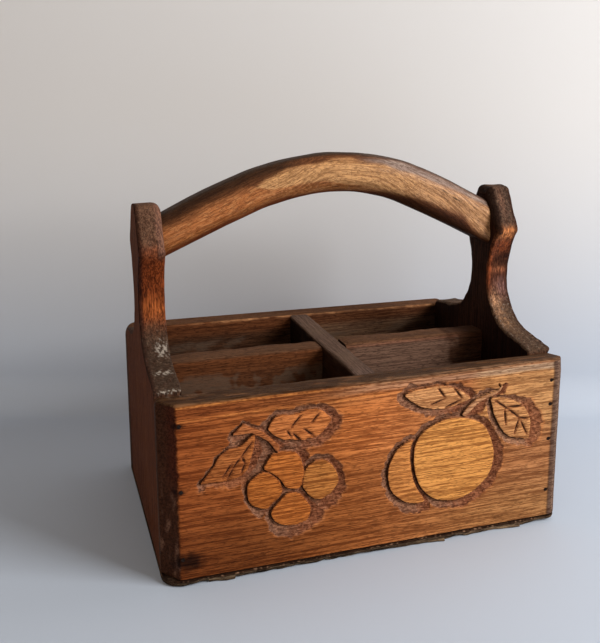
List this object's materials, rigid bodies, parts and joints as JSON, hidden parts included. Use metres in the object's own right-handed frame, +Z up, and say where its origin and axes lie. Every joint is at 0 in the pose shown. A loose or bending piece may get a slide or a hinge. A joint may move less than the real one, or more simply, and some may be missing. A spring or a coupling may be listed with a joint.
{
  "type": "knife tray",
  "caption": "Carved wooden knife tray with lapped dividers, shaped end boards that rise to a bowed handle, and a fruit and leaf relief on its front.",
  "frame": {"origin": "middle of the bottom board's underside, on the table", "axes": "+X to the right along the carved front, +Y from the carved front to the back, +Z up"},
  "size_m": [0.28, 0.188, 0.2606],
  "materials": {
    "front_wood": "oiled, worn",
    "panel_wood": "oiled, worn",
    "end_wood": "oiled, worn",
    "floor_wood": "rough sawn",
    "divider_wood": "oiled, worn",
    "handle_wood": "polished by use",
    "peg_wood": "bare",
    "nail_iron": "rusted"
  },
  "bodies": {
    "root": {"front_panel": "front_wood", "back_panel": "panel_wood", "left_end": "end_wood", "right_end": "end_wood", "bottom_board": "floor_wood", "long_divider": "divider_wood", "cross_divider": "divider_wood", "handle": "handle_wood", "left_handle_peg": "peg_wood", "right_handle_peg": "peg_wood", "front_nails": "nail_iron", "back_nails": "nail_iron", "floor_nails": "nail_iron"}
  },
  "joints": []
}
